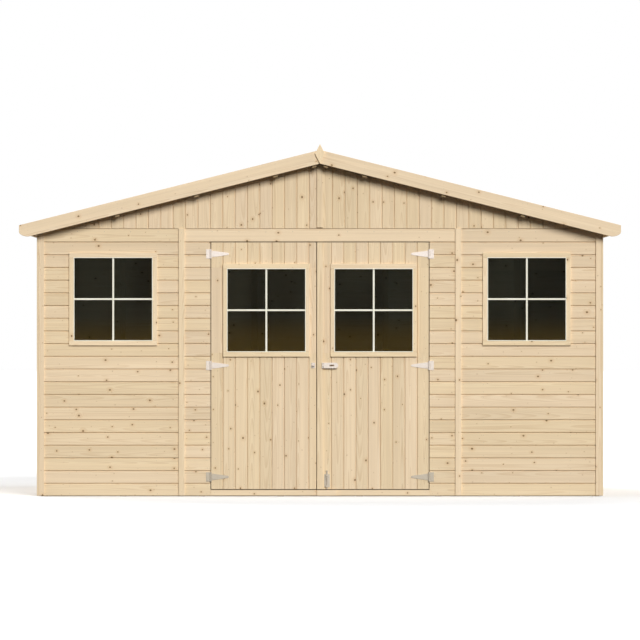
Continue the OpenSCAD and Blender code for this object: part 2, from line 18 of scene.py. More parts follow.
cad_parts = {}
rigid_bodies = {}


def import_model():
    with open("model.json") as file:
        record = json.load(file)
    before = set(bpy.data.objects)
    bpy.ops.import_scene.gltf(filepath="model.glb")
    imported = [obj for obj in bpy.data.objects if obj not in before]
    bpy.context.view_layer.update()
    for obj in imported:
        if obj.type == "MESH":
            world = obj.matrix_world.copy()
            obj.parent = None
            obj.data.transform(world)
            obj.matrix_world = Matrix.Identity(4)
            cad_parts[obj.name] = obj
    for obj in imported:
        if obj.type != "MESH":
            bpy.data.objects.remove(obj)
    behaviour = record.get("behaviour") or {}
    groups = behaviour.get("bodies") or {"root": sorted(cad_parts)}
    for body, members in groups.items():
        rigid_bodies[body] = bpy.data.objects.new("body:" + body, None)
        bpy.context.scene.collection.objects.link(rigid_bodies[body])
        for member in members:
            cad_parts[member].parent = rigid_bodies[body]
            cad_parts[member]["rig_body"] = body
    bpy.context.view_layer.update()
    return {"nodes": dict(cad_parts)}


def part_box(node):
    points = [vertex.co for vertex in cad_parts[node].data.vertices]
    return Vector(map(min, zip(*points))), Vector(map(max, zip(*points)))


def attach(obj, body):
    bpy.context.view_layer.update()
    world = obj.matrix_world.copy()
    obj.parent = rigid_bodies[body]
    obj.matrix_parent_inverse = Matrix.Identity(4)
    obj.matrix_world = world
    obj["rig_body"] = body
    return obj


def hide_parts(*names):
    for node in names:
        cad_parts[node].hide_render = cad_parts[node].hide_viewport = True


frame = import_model()
nodes = frame["nodes"]

X = Vector((1, 0, 0))
Y = Vector((0, 1, 0))
Z = Vector((0, 0, 1))

# --- Sizes of the detail ---

WELD = 1e-6  # corners closer than this are one corner
SKIN = 0.00005  # how far a board lies inside the slab that it is cut from
OVERRUN = 0.01  # how far boards run past their slab before they are cut to it

WALL_PITCH = 0.088  # height that one wall board covers
WALL_BOARDS = 20
HEADER_TOP = 1.8538  # a slit under the gable boards
PANEL_JOINT = 0.959  # where two front or back wall panels meet
SIDE_JOINT = 0.490  # where two side wall panels meet
GABLE_PITCH = 0.0858  # width that one gable board covers
GABLE_ROWS = 24  # gable boards on each side of the middle
GABLE_FIRST_LEFT = 0.075
GABLE_FIRST_RIGHT = 0.086
DOOR_PITCH = 0.085
DOOR_FIRST = 0.078  # from the middle of the doors to the first groove of each leaf
DOOR_LINES = 8
MEETING_LINE = -0.007  # a groove that the meeting strip covers
ROOF_PITCH = 0.096
FLOOR_PITCH = 0.095
ROOF_SLOPE = 0.25  # rise over run

GROOVE_HALF = 0.0024  # half the slot between two boards, where the tongue lies
GROOVE_CHAMFER = 0.002
GROOVE_DEPTH = 0.009
BACK_HALF = 0.0005  # half the fine line between two boards on their back
BACK_DEPTH = 0.003
BOARD_GAP = 0.00001

WOOD_ROUNDING = 0.0012
FRAME_ROUNDING = 0.0018  # on window frames
METAL_ROUNDING = 0.0004
FLAT_ANGLE = 0.4  # degrees, below which two triangles are one flat face
SHARP_ANGLE = 28  # above which an edge is rounded
METAL_SMOOTH = 32  # degrees, below which two faces are shaded as one
FELT_SMOOTH = 30
HEAD_SMOOTH = 40

GLASS_LAP = 0.008  # how far a pane runs in behind its frame
GLASS_CLEAR = 0.0002  # between the glass and what lies on it
BAR_WIDTH = 0.013  # glazing bars
BAR_PROUD = 0.0095
BAR_STEP = 0.0004  # how far the level bars lie behind the upright ones
BAR_ROUNDING = 0.0022
BEAD_WIDTH = 0.0055  # glazing beads on the inner edge of a window frame
BEAD_INWARD = 0.001  # how much of that lies over the glass
BEAD_PROUD = 0.0152
BEAD_ROUNDING = 0.0018

FELT = 0.002  # thickness of one sheet of roofing felt
FELT_COURSES = 3  # sheets from the eaves to the ridge on each slope
FELT_LAP = 0.075  # how far a sheet lies over the one below it
FELT_CAP = 0.16  # how far the ridge strip reaches down each slope
FELT_TURNED = 0.024  # how far the felt is turned down over the eaves
FELT_WAVE = 0.0006  # how unevenly it lies
FELT_ROWS = 72  # faces of a sheet from front to back
LAP_LIFT = FELT * 1.25  # how high a sheet lies on the one below it
CAP_LIFT = FELT * 1.3
LAP_RISE = 0.03  # in how much of its length it rises onto that
RIDGE_CLEAR = 0.012  # how far the top sheets stop short of the ridge
BEND = 0.004  # half the width of a bend at the ridge or the eaves

BOARD_NAIL = (0.0016, 0.0004, 8)  # radius, rise and number of sides of a head
FELT_NAIL = (0.0045, 0.0009, 12)
FELT_NAIL_PITCH = 0.06
FELT_NAIL_LIFT = FELT * 2.4
FELT_NAIL_INSET = 0.03  # from the roof's front edge to the first
FELT_NAIL_STOP = 0.02  # and from its back edge to where they stop
FELT_NAIL_STRAY = 0.006
LAP_NAILS_IN = 0.022  # from the edge of a sheet to its nails
CAP_NAILS_IN = 0.02
HEAD_SUNK = 0.0001  # how far a head reaches into what it holds
NAIL_STRAY = 0.004  # how far a nail may be from its even place

NAIL_CLEAR = 0.3  # how far outside a wall a ray for a nail starts
FLOOR_CLEAR = 0.05  # and the same over the floor, a strip and a bargeboard
STRIP_CLEAR = 0.02
BARGE_CLEAR = 0.1
SCREW_CLEARS = (0.0004, -0.004)  # before a fitting's foremost point, or else behind it

FRONT_STUDS = (0.782, 0.928, 0.990, 1.131, 1.735, 1.902)  # middles of timbers, either side of X = 0
BACK_STUDS = (0.030, 0.4795, 0.928, 0.990, 1.446, 1.902)
SIDE_STUDS = (0.460, 0.520, 0.958, 1.403)
FLOOR_BEARERS = (0.273, 0.819, 1.365, 1.880)
DOOR_RAILS = (0.0805, 0.957, 1.620, 1.7275)  # heights of their middles
DOOR_STILES = (0.0575, 0.722)
GABLE_RAIL = 1.878  # height of the middle of a gable's lowest timber
RAFTER_TOP = 2.262  # where the middles of the two gable rafters would meet
BARGE_MIDDLE = 0.037  # from the bargeboards' peak down to the middle of their width
BARGE_NAILS = (0.062, 0.308, 0.8555, 1.403, 2.02)
HEADER_NAILS = [0.187 * step for step in range(-10, 11)]
HEADER_MIDDLE = 1.8325
STILE_NAILS = [0.26 + 0.21 * step for step in range(7)]
WALL_NAIL = 0.026  # from the middle of a board to each of its two nails
GABLE_NAIL = 0.024
DOOR_NAIL = 0.022
FLOOR_NAIL = 0.027
BARGE_NAIL = 0.016
STRIP_NAILS = (0.33, 0.03)  # pitch, and from a batten's end to its first nail
WINDOW_NAILS = (0.2, 0.018)
SILL_NAILS = (0.25, 0.03)

HINGE_PIN = 0.75625
HINGE_HEIGHTS = (0.134, 0.906, 1.679)
PLATE_SCREWS = ((0.0215, -0.024), (0.0215, 0), (0.0215, 0.024))  # away from the doors, and up
STRAP_SCREWS = ((-0.017, -0.013), (-0.017, 0.013), (-0.055, 0), (-0.113, 0))
HASP_SCREWS = ((0.026, 0.047), (0.892, 0.920))  # X of the two columns, Z of the two rows
STAPLE_SCREWS = ((-0.0555, -0.0375), (0.893, 0.919))
BOLT_SCREWS = ((0.0345, 0.0625), (0.083, 0.131))
HINGE_SCREW = 0.0034  # radius of a head
SMALL_SCREW = 0.003

WINDOW_FRAMES = ("wall_window_frames", "left_door_window_frame", "right_door_window_frame")

# --- Meshes ---


def seeded(*words):
    """A source of random numbers that depends only on these words."""
    return random.Random(":".join(str(word) for word in words))


def body_of(node):
    return nodes[node]["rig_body"]


def welded(node):
    """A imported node's corners, each once, and its triangles as lists of corner numbers."""
    mesh = nodes[node].data
    mesh.calc_loop_triangles()
    corners = np.empty(len(mesh.vertices) * 3, np.float32)
    mesh.vertices.foreach_get("co", corners)
    corners = corners.reshape(-1, 3).astype(float)
    triangles = np.empty(len(mesh.loop_triangles) * 3, np.int32)
    mesh.loop_triangles.foreach_get("vertices", triangles)
    keys = np.round(corners / WELD).astype(np.int64)
    _, first, new_number = np.unique(keys, axis=0, return_index=True, return_inverse=True)
    triangles = new_number.reshape(-1)[triangles].reshape(-1, 3).tolist()
    points = [Vector(corner) for corner in corners[first]]
    return points, [t for t in triangles if len(set(t)) == 3]


def separate(polygons):
    """Which polygons make up each closed solid: they join across an edge that exactly two of them share."""
    users = {}
    for number, polygon in enumerate(polygons):
        for a, b in zip(polygon, polygon[1:] + polygon[:1]):
            users.setdefault((min(a, b), max(a, b)), []).append(number)
    leader = list(range(len(polygons)))

    def find(number):
        while leader[number] != number:
            leader[number] = leader[leader[number]]
            number = leader[number]
        return number

    for pair in users.values():
        if len(pair) == 2:
            leader[find(pair[0])] = find(pair[1])
    groups = {}
    for number in range(len(polygons)):
        groups.setdefault(find(number), []).append(number)
    return sorted(groups.values())


def solids(points, polygons):
    """Each closed solid of a mesh as a bmesh of its own."""
    made = []
    for group in separate(polygons):
        solid = bmesh.new()
        corner = {}
        for number in group:
            for point in polygons[number]:
                if point not in corner:
                    corner[point] = solid.verts.new(points[point])
            solid.faces.new([corner[point] for point in polygons[number]])
        solid.normal_update()
        made.append(solid)
    return made


def solids_of(node):
    return solids(*welded(node))


def solid_boxes(node):
    """The low and high corners of each solid in a node, from left to right."""
    found = []
    for solid in solids_of(node):
        corners = np.array([vert.co for vert in solid.verts])
        found.append((Vector(corners.min(0)), Vector(corners.max(0))))
        solid.free()
    return sorted(found, key=lambda pair: pair[0].x)


def drop_slivers(solid):
    """Takes out faces and edges of no size."""
    bmesh.ops.dissolve_degenerate(solid, dist=WELD, edges=solid.edges)
    solid.normal_update()


def soften(solid, width, steps=2):
    """Joins a solid's flat triangles into whole faces, then rounds its sharp edges."""
    bmesh.ops.dissolve_limit(
        solid,
        angle_limit=math.radians(FLAT_ANGLE),
        verts=solid.verts,
        edges=solid.edges,
    )
    solid.normal_update()
    sharp = [
        edge
        for edge in solid.edges
        if edge.is_manifold and edge.calc_face_angle(0.0) > math.radians(SHARP_ANGLE)
    ]
    bmesh.ops.bevel(
        solid,
        geom=sharp,
        offset=width,
        offset_type="OFFSET",
        segments=steps,
        profile=0.5,
        affect="EDGES",
        clamp_overlap=True,
    )
    drop_slivers(solid)


def mesh_of(solid):
    """A solid's points and faces. The solid is done with then."""
    solid.verts.index_update()
    points = [vert.co.to_tuple() for vert in solid.verts]
    faces = [[vert.index for vert in face.verts] for face in solid.faces]
    solid.free()
    return points, faces


def join(meshes):
    """Several meshes, each as its points and faces, in one."""
    all_points = []
    all_faces = []
    for points, faces in meshes:
        first = len(all_points)
        all_points += points
        all_faces += [[first + number for number in face] for face in faces]
    return all_points, all_faces


def mesh_piece(name, mesh, body, slot, material, smooth_below=None):
    """A new piece that rides on a body, with faces smooth across edges flatter than an angle in degrees."""
    piece = plain_object(name, *mesh)
    mesh = piece.data
    mesh.materials.append(material)
    mesh.update()
    if smooth_below is not None:
        mesh.shade_smooth()
        mesh.set_sharp_from_angle(angle=math.radians(smooth_below))
    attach(piece, body)
    return piece


def plain_object(name, points, faces):
    mesh = bpy.data.meshes.new(name)
    mesh.from_pydata(points, [], faces)
    made = bpy.data.objects.new(name, mesh)
    bpy.context.scene.collection.objects.link(made)
    return made


def longest_way(points):
    """The direction in which a cloud of points is longest, and its length that way."""
    cloud = np.array(points)
    cloud = cloud - cloud.mean(0)
    directions = np.linalg.eigh(cloud.T @ cloud)[1]
    longest = directions[:, -1]
    extent = cloud @ longest
    return Vector(longest), extent.max() - extent.min()


def grain_axes(solid):
    """The directions along, across and through a piece of wood, from its shape."""
    along, extent = longest_way([vert.co for vert in solid.verts])
    edge = max(solid.edges, key=lambda e: e.calc_length())
    if edge.calc_length() > 0.6 * extent:
        along = (edge.verts[1].co - edge.verts[0].co).normalized()
    level = [face for face in solid.faces if abs(face.normal.dot(along)) < 0.2]
    widest = max(level, key=lambda f: f.calc_area())
    through = (widest.normal - along * widest.normal.dot(along)).normalized()
    return along, through.cross(along).normalized(), through


class Wood:
    """A node's pieces of wood gathered into one mesh, each with its own grain and its own tint.

    The point attribute "grain" is a place inside the log that the piece was sawn from: along the log, and
    two ways out from its middle. "board" holds three random numbers from 0 to 1 for the piece.
    """

    def __init__(self, node, kind):
        self.node = node
        self.name = node + "_" + kind
        self.meshes = []
        self.grain = []
        self.board = []

    def add(self, solid, axes=None):
        along, across, through = axes or grain_axes(solid)
        draw = seeded(self.name, len(self.meshes))
        start = draw.uniform(0, 20)
        side = draw.uniform(-0.035, 0.035)
        out = draw.choice((-1, 1)) * draw.uniform(0.012, 0.075)
        side_drift = draw.uniform(-0.012, 0.012)
        out_drift = draw.uniform(-0.022, 0.022)
        board = (draw.random(), draw.random(), draw.random())
        centre = sum((vert.co for vert in solid.verts), Vector()) / len(solid.verts)
        for vert in solid.verts:
            place = vert.co - centre
            run = place.dot(along)
            self.grain.append((
                start + run,
                side + place.dot(across) + side_drift * run,
                out + place.dot(through) + out_drift * run,
            ))
            self.board.append(board)
        self.meshes.append(mesh_of(solid))

    def finish(self, slot, material):
        piece = mesh_piece(self.name, join(self.meshes), body_of(self.node), slot, material)
        for name, values in (("grain", self.grain), ("board", self.board)):
            attribute = piece.data.attributes.new(name, "FLOAT_VECTOR", "POINT")
            attribute.data.foreach_set("vector", np.array(values, np.float32).reshape(-1))
        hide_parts(self.node)


def wood_from(node, slot, material, rounding=WOOD_ROUNDING):
    """A node's battens again, each with rounded edges and a grain that runs along it."""
    wood = Wood(node, "wood")
    for solid in solids_of(node):
        soften(solid, rounding)
        wood.add(solid)
    wood.finish(slot, material)


def metal_from(node, slot, material):
    """A fitting again, with its edges broken and its round parts smooth."""
    fitting = solids_of(node)
    for solid in fitting:
        soften(solid, METAL_ROUNDING, steps=1)
    mesh = join([mesh_of(solid) for solid in fitting])
    piece = mesh_piece(node + "_metal", mesh, body_of(node), slot, material, METAL_SMOOTH)
    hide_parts(node)


def plank_outline(low, high, thickness):
    """The section of one tongue-and-groove board, as (across, depth) with depth 0 on the show face."""
    low = low + BOARD_GAP
    high = high - BOARD_GAP
    one_side = [
        (GROOVE_HALF + GROOVE_CHAMFER, 0),
        (GROOVE_HALF, GROOVE_CHAMFER),
        (GROOVE_HALF, GROOVE_DEPTH),
        (0, GROOVE_DEPTH),
        (0, thickness - BACK_DEPTH),
        (BACK_HALF, thickness - BACK_DEPTH),
        (BACK_HALF, thickness),
    ]
    left = [(low + inset, depth) for inset, depth in one_side]
    right = [(high - inset, depth) for inset, depth in reversed(one_side)]
    return left + right


def band(outer, inner):
    """The faces between two rings of corners."""
    following = [*range(1, len(outer)), 0]
    return [[outer[b], outer[a], inner[a], inner[b]] for a, b in enumerate(following)]


def prism(outline, start, end, place):
    """A closed bar with this outline between two points along it; place turns its numbers into a point."""
    points = [place(run, across, depth) for run in (start, end) for across, depth in outline]
    near = list(range(len(outline)))
    far = list(range(len(outline), len(points)))
    return points, [near, far[::-1]] + band(near, far)


def shared_by(name, bars, slab):
    """What a set of bars and a slab have in common, as (points, polygons)."""
    bar_object = plain_object(name + "_bars", *bars)
    check = bmesh.new()
    check.from_mesh(bar_object.data)
    bmesh.ops.recalc_face_normals(check, faces=check.faces)
    check.to_mesh(bar_object.data)
    check.free()
    slab_object = plain_object(name + "_slab", *slab)
    cut = bar_object.modifiers.new("cut", "BOOLEAN")
    cut.operation = "INTERSECT"
    cut.solver = "EXACT"
    cut.object = slab_object
    bpy.context.view_layer.update()
    depsgraph = bpy.context.evaluated_depsgraph_get()
    result = bpy.data.meshes.new_from_object(bar_object.evaluated_get(depsgraph))
    points = [vert.co.copy() for vert in result.vertices]
    polygons = [list(polygon.vertices) for polygon in result.polygons]
    for unwanted in (bar_object, slab_object):
        mesh = unwanted.data
        bpy.data.objects.remove(unwanted)
        bpy.data.meshes.remove(mesh)
    bpy.data.meshes.remove(result)
    return points, polygons


def planks_from(node, material, along, across, outward, edges, joints=(), slot="pine_boards"):
    """A slab of boarding again, as single boards with grooves between them on the show face.

    along and across are directions in the slab, outward points out of its show face, edges are the places
    of the grooves across the slab, and joints the places along it where boards end on a batten.
    """
    points, triangles = welded(node)
    lengths = [point.dot(along) for point in points]
    depths = [point.dot(outward) for point in points]
    show = max(depths) - SKIN
    thickness = max(depths) - min(depths) - 2 * SKIN
    ends = [min(lengths) - OVERRUN]
    ends += [place for place in joints if min(lengths) < place < max(lengths)]
    ends += [max(lengths) + OVERRUN]

    def place(run, side, depth):
        return (along * run + across * side + outward * (show - depth)).to_tuple()

    bars = []
    for low, high in zip(edges, edges[1:]):
        outline = plank_outline(low, high, thickness)
        for start, end in zip(ends, ends[1:]):
            bars.append(prism(outline, start + BOARD_GAP, end - BOARD_GAP, place))
    slab = ([point.to_tuple() for point in points], triangles)
    wood = Wood(node, "planks")
    for plank in solids(*shared_by(node, join(bars), slab)):
        drop_slivers(plank)
        wood.add(plank, (along, across, outward))
    wood.finish(slot, material)


class Outside:
    """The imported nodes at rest, as seen by a ray from outside."""

    def __init__(self):
        meshes = {node: welded(node) for node in sorted(nodes)}
        self.owner = [node for node, (_, faces) in meshes.items() for _ in faces]
        self.tree = BVHTree.FromPolygons(*join(meshes.values()))

    def reach(self, node, place, outward, clear):
        """Where a ray that starts this far outside meets the node, or None if something is in its way."""
        hit, _, number, _ = self.tree.ray_cast(place + outward * clear, -outward)
        if hit is None or self.owner[number] != node:
            return None
        return hit


class Heads:
    """Nail and screw heads on one body, gathered into one mesh."""

    def __init__(self, name, body, material):
        self.name = name
        self.body = body
        self.material = material
        self.points = []
        self.faces = []

    def ring(self, centre, outward, radius, angles, turn):
        side = outward.cross(Z if abs(outward.z) < 0.7 else Y).normalized()
        up = side.cross(outward)
        first = len(self.points)
        for angle in angles:
            run = side * math.cos(angle + turn) + up * math.sin(angle + turn)
            self.points.append((centre + run * radius).to_tuple())
        return list(range(first, len(self.points)))

    def nail(self, place, outward, size, turn=0.0):
        """A low round head."""
        radius, rise, sides = size
        angles = [2 * math.pi * side / sides for side in range(sides)]
        low = self.ring(place - outward * HEAD_SUNK, outward, radius, angles, turn)
        high = self.ring(place + outward * rise, outward, radius * 0.62, angles, turn)
        self.faces += [low] + band(low, high) + [high[::-1]]

    def screw(self, place, outward, radius, turn=0.0):
        """A raised countersunk head with a cross recess."""
        arm = radius * 0.62
        half = radius * 0.15
        slant = math.atan2(half, arm)
        corners = []
        for quarter in range(4):
            angle = math.pi / 2 * quarter
            corners.append((angle - slant, math.hypot(arm, half)))
            corners.append((angle + slant, math.hypot(arm, half)))
            corners.append((angle + math.pi / 4, half * math.sqrt(2)))
        angles = [angle for angle, _ in corners]
        rim = self.ring(place - outward * HEAD_SUNK, outward, radius, angles, turn)
        edge = self.ring(place + outward * radius * 0.1, outward, radius * 0.93, angles, turn)
        crown = self.ring(place + outward * radius * 0.2, outward, radius * 0.72, angles, turn)
        self.faces += [rim] + band(rim, edge) + band(edge, crown)
        top = []
        floor = []
        for ring, height, inward in ((top, 0.22, 1.0), (floor, 0.02, 0.72)):
            centre = place + outward * radius * height
            for angle, reach in corners:
                ring += self.ring(centre, outward, reach * inward, [angle], turn)
        self.faces += band(crown, top) + band(top, floor) + [floor[::-1]]

    def finish(self):
        mesh = (self.points, self.faces)
        mesh_piece(self.name, mesh, self.body, "zinc", self.material, HEAD_SMOOTH)


outside = Outside()

# --- Materials ---


def linear(red, green, blue):
    """A colour written in 0-255 steps, as the light values that a shader takes."""
    light = []
    for step in (red, green, blue):
        value = step / 255
        light.append(value / 12.92 if value <= 0.04045 else ((value + 0.055) / 1.055) ** 2.4)
    return (*light, 1.0)


class Shader:
    """A new material or world, and short names for the nodes that it is made of."""

    def __init__(self, name, kind=bpy.data.materials):
        self.owner = kind.new(name)
        self.owner.use_nodes = True
        self.tree = self.owner.node_tree
        output = next(node for node in self.tree.nodes if "Surface" in node.inputs)
        self.surface = output.inputs["Surface"]
        self.main = self.surface.links[0].from_node

    def set(self, **values):
        """Plain values for the main shader's sockets, with _ for a space."""
        for name, value in values.items():
            self.main.inputs[name.replace("_", " ")].default_value = value

    def drive(self, name, pattern):
        """A pattern for one of the main shader's sockets."""
        self.feed(self.main.inputs[name], pattern)

    def feed(self, socket, value):
        if isinstance(value, bpy.types.NodeSocket):
            self.tree.links.new(value, socket)
        else:
            socket.default_value = value

    def node(self, kind, *values, named=(), **settings):
        """A new node's outputs. It takes values or patterns in its first sockets and in the named ones."""
        made = self.tree.nodes.new("ShaderNode" + kind)
        for name, value in settings.items():
            setattr(made, name, value)
        for name, value in (*enumerate(values), *dict(named).items()):
            self.feed(made.inputs[name], value)
        return made.outputs

    def attribute(self, name):
        return self.node("Attribute", attribute_name=name)["Vector"]

    def place(self):
        return self.node("TexCoord")["Object"]

    def math(self, operation, a, b=0.0):
        return self.node("Math", a, b, operation=operation)[0]

    def times(self, first, *others):
        for other in others:
            first = self.math("MULTIPLY", first, other)
        return first

    def plus(self, first, *others):
        for other in others:
            first = self.math("ADD", first, other)
        return first

    def vector(self, operation, a, b=(0, 0, 0)):
        made = self.node("VectorMath", a, b, operation=operation)
        return made["Value" if operation == "LENGTH" else "Vector"]

    def split(self, vector):
        return self.node("SeparateXYZ", vector)

    def join(self, x, y, z=0.0):
        return self.node("CombineXYZ", x, y, z)[0]

    def ramp(self, value, low, high, to_low=0.0, to_high=1.0, kind="SMOOTHSTEP"):
        """value from low to high becomes to_low to to_high, and stays there beyond."""
        return self.node("MapRange", value, low, high, to_low, to_high, interpolation_type=kind)[0]

    def line(self, value, low, high, to_low=0.0, to_high=1.0):
        """A ramp that isn't eased at its ends."""
        return self.ramp(value, low, high, to_low, to_high, "LINEAR")

    def noise(self, place, scale, detail, roughness=0.5):
        """Cloudy noise with this many patches to a metre along each axis."""
        values = {"Scale": 1.0, "Detail": detail, "Roughness": roughness}
        scaled = self.vector("MULTIPLY", place, scale)
        return self.node("TexNoise", scaled, named=values, noise_dimensions="3D")["Fac"]

    def cells(self, place, dimensions="3D", randomness=1.0):
        """The outputs of a pattern of cells, each about one unit wide."""
        values = {"Scale": 1.0, "Randomness": randomness}
        return self.node("TexVoronoi", place, named=values, voronoi_dimensions=dimensions, feature="F1")

    def mix(self, amount, a, b, kind="MIX"):
        """Two colours mixed, each from a socket or written in 0-255 steps."""
        a, b = [linear(*colour) if isinstance(colour, tuple) else colour for colour in (a, b)]
        return self.node("Mix", amount, named={6: a, 7: b}, data_type="RGBA", blend_type=kind)[2]

    def bump(self, height, strength, distance):
        values = {"Strength": strength, "Distance": distance, "Height": height}
        self.drive("Normal", self.node("Bump", named=values)["Normal"])


KNOT_PATCH = (0.21, 0.062)  # size of the patches that hold at most one knot each, along and across
KNOT_RADIUS = (0.0028, 0.0074)  # of the smallest and the largest
PIN_PATCH = (KNOT_PATCH[0] * 0.61, KNOT_PATCH[1] * 0.7)
PIN_RADIUS = (0.0012, 0.0026)
PIN_SHARE = 0.3  # how many patches hold a pin knot
RING = 0.0036  # from one year's growth to the next
YELLOW_TINT = (255, 250, 240)
PINK_TINT = (255, 250, 246)
LIGHTEST = 1.035  # tone of the lightest boards


def knots(shader, along, across, knottiness, share, patch, radius):
    """How dark a knot's core makes the wood at a place, and its halo, 0 to 1 each."""
    patch_along, patch_across = patch
    flat = shader.join(
        shader.math("DIVIDE", along, patch_along),
        shader.math("DIVIDE", across, patch_across),
    )
    cells = shader.cells(flat, "2D", 0.85)
    away = shader.vector("SUBTRACT", flat, cells["Position"])
    away = shader.vector("MULTIPLY", away, (patch_along * 0.8, patch_across, 0))
    away = shader.vector("LENGTH", away)
    chance, size, _ = shader.split(cells["Color"])
    limit = shader.times(shader.plus(knottiness, 0.5), share)
    present = shader.math("LESS_THAN", chance, limit)
    nearness = shader.math("DIVIDE", away, shader.line(size, 0, 1, *radius))
    core = shader.times(shader.ramp(nearness, 0.55, 1.15, 1, 0), present)
    halo = shader.times(shader.ramp(nearness, 0.8, 4.2, 1, 0), present)
    return core, halo


def pine(name, pale, late_wood, knot_share=0.42, darkest=0.955, rough=0.6):
    """Planed softwood: growth rings, fibres, knots and a tint of its own for each board."""
    shader = Shader(name)
    grain = shader.attribute("grain")
    along, across, out = shader.split(grain)
    tone, hue, knottiness = shader.split(shader.attribute("board"))
    core, halo = knots(shader, along, across, knottiness, knot_share, KNOT_PATCH, KNOT_RADIUS)
    pin_core, pin_halo = knots(shader, along, across, knottiness, PIN_SHARE, PIN_PATCH, PIN_RADIUS)

    sway = shader.noise(grain, (1.3, 11, 11), 2)
    sway = shader.times(shader.math("SUBTRACT", sway, 0.5), 0.014)
    from_pith = shader.math("SQRT", shader.plus(shader.times(across, across), shader.times(out, out)))
    from_pith = shader.plus(from_pith, sway, shader.times(halo, 0.006))
    year = shader.math("FRACT", shader.math("DIVIDE", from_pith, RING))
    late = shader.times(shader.ramp(year, 0.25, 0.9), shader.ramp(year, 0.93, 1.0, 1, 0))

    band = shader.line(shader.noise(grain, (0.7, 48, 48), 3, 0.6), 0.3, 0.72)
    fibre = shader.noise(grain, (9, 620, 620), 2)
    cloud = shader.noise(grain, (1.1, 7, 7), 1)

    tint = shader.mix(shader.ramp(hue, 0.1, 0.9), YELLOW_TINT, PINK_TINT)
    wood = shader.mix(1.0, pale, tint, "MULTIPLY")
    wood = shader.mix(shader.times(late, shader.line(band, 0, 1, 0.16, 0.5)), wood, late_wood)
    light = shader.times(
        shader.line(tone, 0, 1, darkest, LIGHTEST),
        shader.line(band, 0, 1, 1.025, 0.95),
        shader.line(cloud, 0.25, 0.75, 0.965, 1.03),
        shader.line(fibre, 0.2, 0.8, 0.975, 1.02),
    )
    wood = shader.mix(1.0, wood, shader.join(light, light, light), "MULTIPLY")
    for dark, strength, colour in (
        (halo, 0.3, (204, 162, 110)),
        (core, 0.92, (108, 80, 42)),
        (pin_halo, 0.15, (196, 156, 108)),
        (pin_core, 0.75, (134, 102, 60)),
    ):
        wood = shader.mix(shader.times(dark, strength), wood, colour)
    shader.drive("Base Color", wood)

    roughness = shader.line(fibre, 0.2, 0.8, rough - 0.08, rough + 0.1)
    shader.drive("Roughness", shader.math("SUBTRACT", roughness, shader.times(core, 0.15)))
    height = shader.plus(shader.times(fibre, 0.5), shader.times(late, 0.35))
    shader.bump(shader.math("SUBTRACT", height, shader.times(core, 0.6)), 0.5, 0.0004)
    shader.set(Specular_IOR_Level=0.2)
    return shader.owner


def glazing_bar_paint():
    """Cream-white glazing bars with a faint brushed unevenness."""
    shader = Shader("bar_paint")
    place = shader.place()
    cloud = shader.noise(place, (9, 9, 9), 3)
    brush = shader.noise(place, (220, 220, 220), 2)
    shader.drive("Base Color", shader.mix(shader.ramp(cloud, 0.3, 0.7), (232, 228, 208), (240, 237, 220)))
    shader.drive("Roughness", shader.line(brush, 0.2, 0.8, 0.36, 0.5))
    shader.bump(brush, 0.15, 0.0003)
    return shader.owner


def zinc_plate(name, dark, pale, rough, ground_darkening=0.85):
    """Zinc-plated steel: faint crystals and rolling lines, darker and browner towards the ground."""
    shader = Shader(name)
    place = shader.place()
    crystals = shader.cells(shader.vector("MULTIPLY", place, (190, 190, 190)))
    patch = shader.split(crystals["Color"])[0]
    cloud = shader.noise(place, (60, 60, 60), 3)
    lines = shader.noise(place, (2500, 300, 90), 2)
    colour = shader.mix(shader.plus(shader.times(patch, 0.45), shader.times(cloud, 0.55)), dark, pale)
    # darker and browner towards the ground
    near_ground = shader.ramp(shader.split(place)[2], 0.1, 1.3, ground_darkening, 0.0)
    shader.drive("Base Color", shader.mix(near_ground, colour, (154, 145, 128)))
    uneven = shader.ramp(cloud, 0.3, 0.7, rough, rough + 0.14)
    shader.drive("Roughness", shader.plus(uneven, shader.times(patch, 0.06)))
    shader.bump(lines, 0.12, 0.0002)
    shader.set(Metallic=0.55)
    return shader.owner


def mineral_felt():
    """Bitumen roofing felt under a coat of grey mineral grains."""
    shader = Shader("mineral_felt")
    place = shader.place()
    grains = shader.cells(shader.vector("MULTIPLY", place, (420, 420, 420)))
    grain_tone = shader.split(grains["Color"])[0]
    worn = shader.noise(place, (2.2, 2.2, 2.2), 4, 0.6)
    fine = shader.noise(place, (38, 38, 38), 3)
    colour = shader.mix(shader.ramp(grain_tone, 0.1, 0.95), (46, 46, 47), (104, 103, 102))
    colour = shader.mix(shader.ramp(worn, 0.35, 0.7, 0, 0.4), colour, (88, 86, 82))
    colour = shader.mix(shader.ramp(fine, 0.3, 0.7, 0, 0.35), colour, (58, 58, 60))
    shader.drive("Base Color", colour)
    shader.drive("Roughness", shader.line(grain_tone, 0, 1, 0.78, 0.97))
    shader.bump(grains["Distance"], 0.55, 0.0008)
    return shader.owner


def window_glass():
    """Thin glazing, slightly uneven, with a faint film of dust, and painted lighter and browner low down:
    painted light from the lit inside seen through the lower panes.
    """
    shader = Shader("window_glass")
    place = shader.place()
    sway = shader.noise(place, (3.5, 3.5, 3.5), 1)
    dust = shader.noise(place, (30, 30, 30), 4)
    gloom = shader.noise(place, (5, 5, 1.2), 1)
    clear = shader.mix(shader.ramp(gloom, 0.38, 0.62), (23, 27, 16), (45, 48, 36))
    dust_and_painted_glow = shader.mix(shader.ramp(dust, 0.35, 0.75), (72, 59, 17), (86, 70, 24))
    height = shader.split(place)[2]
    # the lower panes are painted lighter and browner: painted light from the inside, over a faint dust
    shader.drive("Base Color", shader.mix(shader.ramp(height, 1.05, 1.27), dust_and_painted_glow, clear))
    shader.drive("Roughness", shader.line(dust, 0.3, 0.7, 0.03, 0.09))
    shader.bump(sway, 0.2, 0.004)
    shader.set(Alpha=0.3, Specular_IOR_Level=0.16)
    return shader.owner


